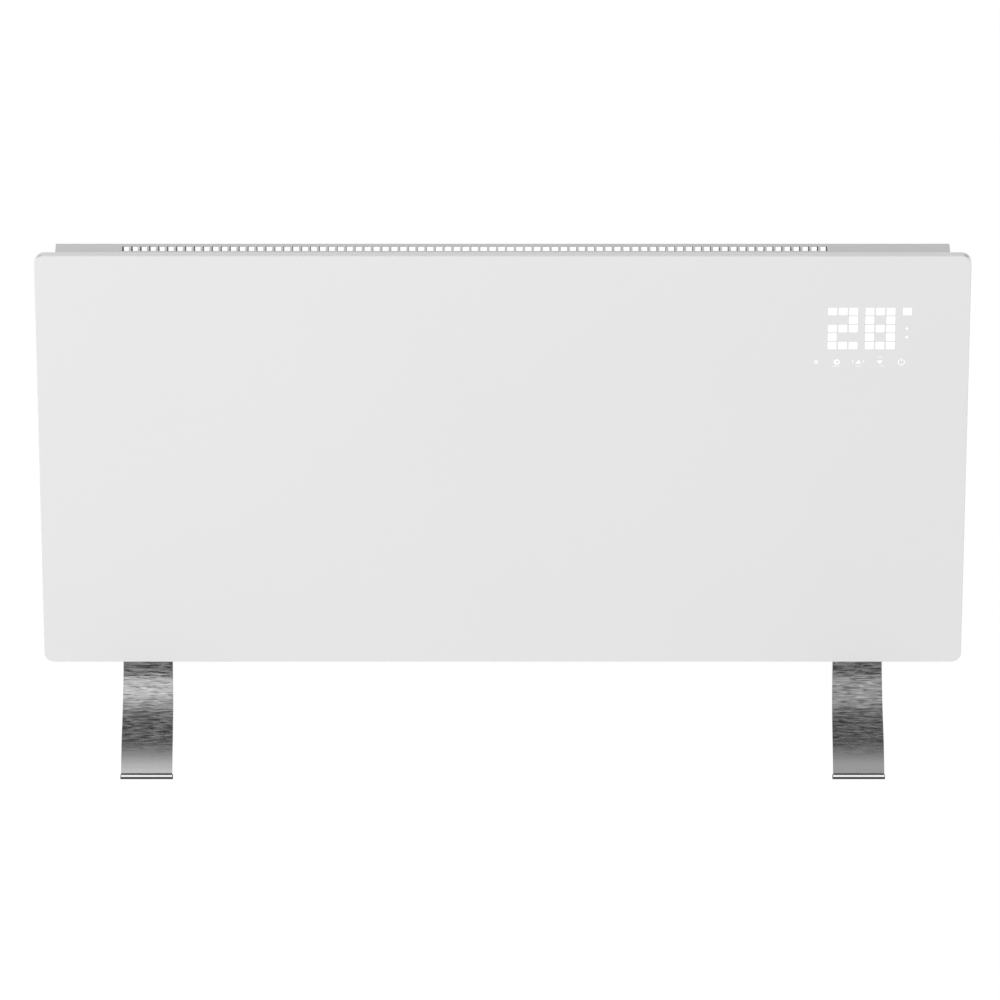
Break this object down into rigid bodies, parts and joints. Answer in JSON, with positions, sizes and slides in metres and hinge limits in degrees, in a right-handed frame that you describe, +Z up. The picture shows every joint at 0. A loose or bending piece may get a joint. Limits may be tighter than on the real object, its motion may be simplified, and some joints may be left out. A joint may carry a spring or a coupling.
{
  "type": "panel convector heater",
  "caption": "Slim electric panel convector heater with a white glass front, a perforated top, a touch display behind the glass and two bent brushed steel feet.",
  "frame": {"origin": "on the floor, under the middle of the glass panel's width and of the feet's depth", "axes": "+X to the right as seen from the front, +Y from the glass to the rear, +Z up"},
  "size_m": [0.86, 0.2314, 0.516],
  "materials": {
    "white_glass": "clear glass painted white on its back, polished edge",
    "white_steel": "white powder coat, satin",
    "foot_steel": "brushed across the foot",
    "pad_rubber": "matt",
    "tape_foam": "foam tape",
    "zinc_steel": "zinc plated sheet",
    "bright_aluminium": "bright rolled sheet",
    "element_aluminium": "extruded, matt",
    "sheath_steel": "drawn steel tube",
    "bush_ceramic": "unglazed",
    "white_plastic": "moulded, matt",
    "black_plastic": "moulded, matt",
    "switch_plastic": "moulded, half gloss",
    "board_green": "solder mask",
    "display_light": "light-emitting diode",
    "spring_steel": "plated spring wire",
    "brass_parts": "turned",
    "screw_steel": "zinc plated",
    "black_rubber": "matt",
    "silicone_lead": "silicone insulation",
    "brown_lead": "wire insulation",
    "grey_lead": "wire insulation",
    "green_lead": "wire insulation, green and yellow"
  },
  "bodies": {
    "heater": {"adhesive_strips": "tape_foam", "board_headers": "white_plastic", "board_standoffs": "white_plastic", "buzzer": "black_plastic", "cable_gland": "white_plastic", "carrier_brackets": "zinc_steel", "cutout_leads": "silicone_lead", "display_board": "board_green", "display_housing": "white_plastic", "display_leds": "display_light", "display_ribbon": "grey_lead", "display_screws": "screw_steel", "earth_lead": "green_lead", "earth_stud": "brass_parts", "element_bushes": "bush_ceramic", "foot_screws": "screw_steel", "gland_nut": "white_plastic", "glass_front": "white_glass", "heat_shield": "bright_aluminium", "heater_leads": "silicone_lead", "heater_relays": "black_plastic", "lead_grommets": "black_rubber", "left_element_bracket": "zinc_steel", "left_foot": "foot_steel", "left_foot_nut_plate": "zinc_steel", "left_front_foot_pad": "pad_rubber", "left_rear_foot_pad": "pad_rubber", "light_guide": "white_plastic", "lower_heating_element": "element_aluminium", "lower_heating_rod": "sheath_steel", "mains_leads": "brown_lead", "panel_carrier": "white_steel", "partition": "zinc_steel", "power_board": "board_green", "power_supply": "black_plastic", "rear_cover": "white_steel", "rear_screws": "screw_steel", "right_element_bracket": "zinc_steel", "right_foot": "foot_steel", "right_foot_nut_plate": "zinc_steel", "right_front_foot_pad": "pad_rubber", "right_rear_foot_pad": "pad_rubber", "room_sensor": "sheath_steel", "sensor_clip": "white_plastic", "sensor_lead": "grey_lead", "side_cap_left": "white_steel", "side_cap_right": "white_steel", "side_screws": "screw_steel", "switch_frame": "switch_plastic", "terminal_block": "white_plastic", "terminal_screws": "brass_parts", "thermal_cutout": "bush_ceramic", "tilt_bracket": "zinc_steel", "tilt_sensor": "black_plastic", "touch_springs": "spring_steel", "upper_heating_element": "element_aluminium", "upper_heating_rod": "sheath_steel"},
    "rocker": {"switch_rocker": "switch_plastic"},
    "pendulum": {"tilt_pendulum": "brass_parts"}
  },
  "joints": [
    {"name": "rocker_hinge", "type": "hinge", "parent": "heater", "child": "rocker", "pos_m": [0.4113, 0.005, 0.227], "axis": [0, 1, 0], "range_deg": [0, 22]},
    {"name": "pendulum_hinge", "type": "hinge", "parent": "heater", "child": "pendulum", "pos_m": [0.3121, 0.002, 0.394], "axis": [1, 0, 0], "range_deg": [-20, 20]}
  ]
}
